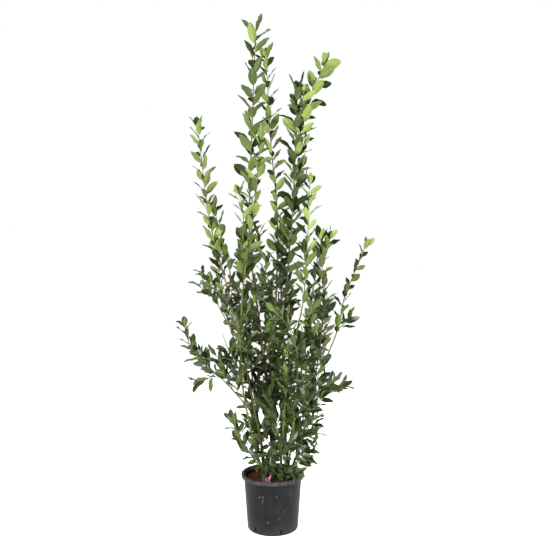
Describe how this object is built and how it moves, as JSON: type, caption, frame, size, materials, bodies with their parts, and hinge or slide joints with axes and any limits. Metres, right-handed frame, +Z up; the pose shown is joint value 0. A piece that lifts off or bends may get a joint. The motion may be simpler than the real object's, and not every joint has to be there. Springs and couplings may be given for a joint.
{
  "type": "potted multi-stem bay laurel bush",
  "caption": "Upright multi-stem bay laurel bush in a round black nursery pot: a dense leafy base with slim open leafy shoots rising out of it.",
  "frame": {"origin": "middle of the pot's flat underside", "axes": "+Z up along the pot's axis; -Y is the front; +X is to the right seen from the front"},
  "size_m": [0.8996, 0.7171, 2.2912],
  "materials": {
    "pot_plastic": "scuffed black moulded plastic",
    "soil": "dark reddish-brown bark compost",
    "bark": "fine-grained brown-green bark",
    "young_bark": "smooth green young bark",
    "foliage": "leathery leaves, dark and glossy below, pale yellow-green above",
    "tape": "thin pink plastic tape"
  },
  "bodies": {
    "root": {"bough_back_reach_left": "young_bark", "bough_back_reach_right": "young_bark", "bough_far_right": "young_bark", "bough_foot_left": "young_bark", "bough_foot_right": "young_bark", "bough_left_fork": "young_bark", "bough_low_left": "young_bark", "bough_mid_left": "young_bark", "bough_right_low": "young_bark", "leaves_arching": "foliage", "leaves_back_left": "foliage", "leaves_back_middle": "foliage", "leaves_back_reach_left": "foliage", "leaves_back_reach_right": "foliage", "leaves_back_right": "foliage", "leaves_far_right": "foliage", "leaves_foot_left": "foliage", "leaves_foot_right": "foliage", "leaves_leader": "foliage", "leaves_left": "foliage", "leaves_left_fork": "foliage", "leaves_left_inner": "foliage", "leaves_low_left": "foliage", "leaves_mid_left": "foliage", "leaves_right_inner": "foliage", "leaves_right_low": "foliage", "leaves_right_outer": "foliage", "leaves_right_tall": "foliage", "leaves_second": "foliage", "leaves_side_1": "foliage", "leaves_side_10": "foliage", "leaves_side_11": "foliage", "leaves_side_12": "foliage", "leaves_side_13": "foliage", "leaves_side_14": "foliage", "leaves_side_15": "foliage", "leaves_side_2": "foliage", "leaves_side_3": "foliage", "leaves_side_4": "foliage", "leaves_side_5": "foliage", "leaves_side_6": "foliage", "leaves_side_7": "foliage", "leaves_side_8": "foliage", "leaves_side_9": "foliage", "pot": "pot_plastic", "soil": "soil", "stem_arching": "bark", "stem_back_left": "bark", "stem_back_middle": "bark", "stem_back_right": "bark", "stem_leader": "bark", "stem_left": "bark", "stem_left_inner": "bark", "stem_right_inner": "bark", "stem_right_outer": "bark", "stem_right_tall": "bark", "stem_second": "bark", "tie": "tape"}
  },
  "joints": []
}
